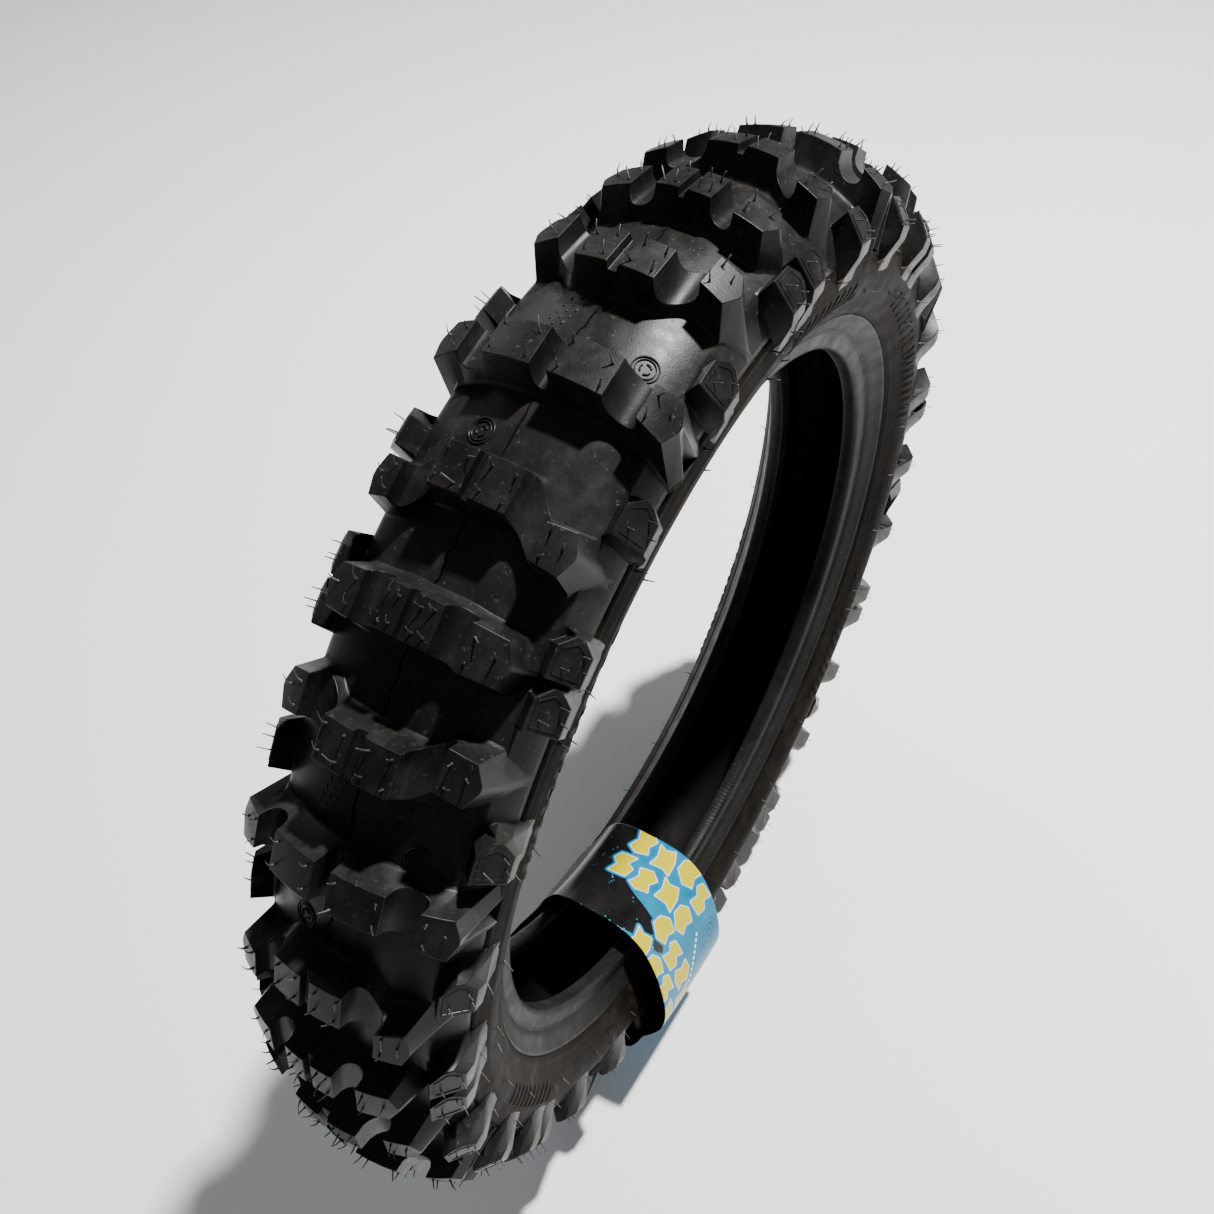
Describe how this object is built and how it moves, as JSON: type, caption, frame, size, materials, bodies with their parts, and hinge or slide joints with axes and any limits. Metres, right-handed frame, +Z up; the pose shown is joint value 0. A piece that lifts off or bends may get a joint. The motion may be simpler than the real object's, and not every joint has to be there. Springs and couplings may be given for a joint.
{
  "type": "motorcycle tire",
  "caption": "Off-road motorcycle rear tyre with tall staggered tread knobs, open toroidal casing, wire beads and a loose printed card band looped round its section.",
  "frame": {"origin": "wheel centre: on the axle line, midway between the two beads", "axes": "+Y along the axle towards the left side, +Z up with the tyre standing on its tread, +X along the rolling direction"},
  "size_m": [0.6748, 0.1566, 0.6748],
  "materials": {
    "tread_rubber": "matte moulded rubber",
    "sidewall_rubber": "satin moulded rubber, dusty",
    "cushion_rubber": "matte",
    "ply_fabric": "rubber-coated cord",
    "liner_rubber": "smooth, slightly glossy",
    "bead_rubber": "smooth satin",
    "bead_wire": "bronze-coated steel wire",
    "wrap_card": "glossy printed card"
  },
  "bodies": {
    "tyre": {"tread": "tread_rubber", "tread_cushion": "cushion_rubber", "breaker_outer": "ply_fabric", "breaker_inner": "ply_fabric", "body_ply_outer": "ply_fabric", "body_ply_inner": "ply_fabric", "inner_liner": "liner_rubber", "sidewall_left": "sidewall_rubber", "chafer_left": "bead_rubber", "bead_wire_left": "bead_wire", "bead_filler_left": "cushion_rubber", "bead_flipper_left": "ply_fabric", "sidewall_right": "sidewall_rubber", "chafer_right": "bead_rubber", "bead_wire_right": "bead_wire", "bead_filler_right": "cushion_rubber", "bead_flipper_right": "ply_fabric"},
    "wrap_band": {"wrap_label": "wrap_card"}
  },
  "joints": [
    {"name": "wrap_band_turn", "type": "hinge", "parent": "tyre", "child": "wrap_band", "pos_m": [0, 0, 0], "axis": [0, 1, 0], "continuous": true}
  ]
}
